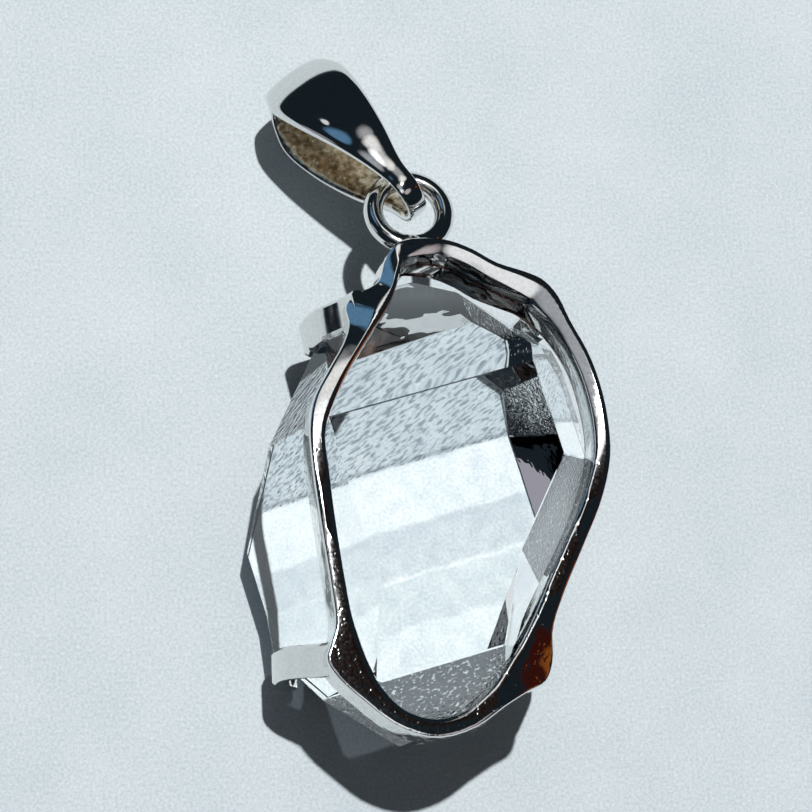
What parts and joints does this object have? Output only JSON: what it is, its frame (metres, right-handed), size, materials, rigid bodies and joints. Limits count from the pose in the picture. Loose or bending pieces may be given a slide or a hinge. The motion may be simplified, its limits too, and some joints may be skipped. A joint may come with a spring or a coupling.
{
  "type": "quartz crystal pendant",
  "caption": "Clear doubly terminated quartz crystal held by claws in a polished silver rim, with a hanging ring and a bail that swings on it.",
  "frame": {"origin": "on the crystal's flat front face, which is the face the pendant lies on, below the middle of the crystal", "axes": "+Y from the crystal's lower end to the bail, +Z from the front face up to the open rim at the back, +X to the right seen from the back"},
  "size_m": [0.0179, 0.037, 0.0112],
  "materials": {
    "quartz": "clear natural crystal faces, fine growth ripples on some of them",
    "silver": "mirror-polished sterling silver"
  },
  "bodies": {
    "pendant": {"crystal": "quartz", "setting": "silver", "hanging_ring": "silver"},
    "bail": {"bail": "silver"}
  },
  "joints": [
    {"name": "bail_swing", "type": "hinge", "parent": "pendant", "child": "bail", "pos_m": [-0.00236, 0.01724, 0.00744], "axis": [0.9205, 0.3822, -0.0812], "range_deg": [-40, 100]}
  ]
}
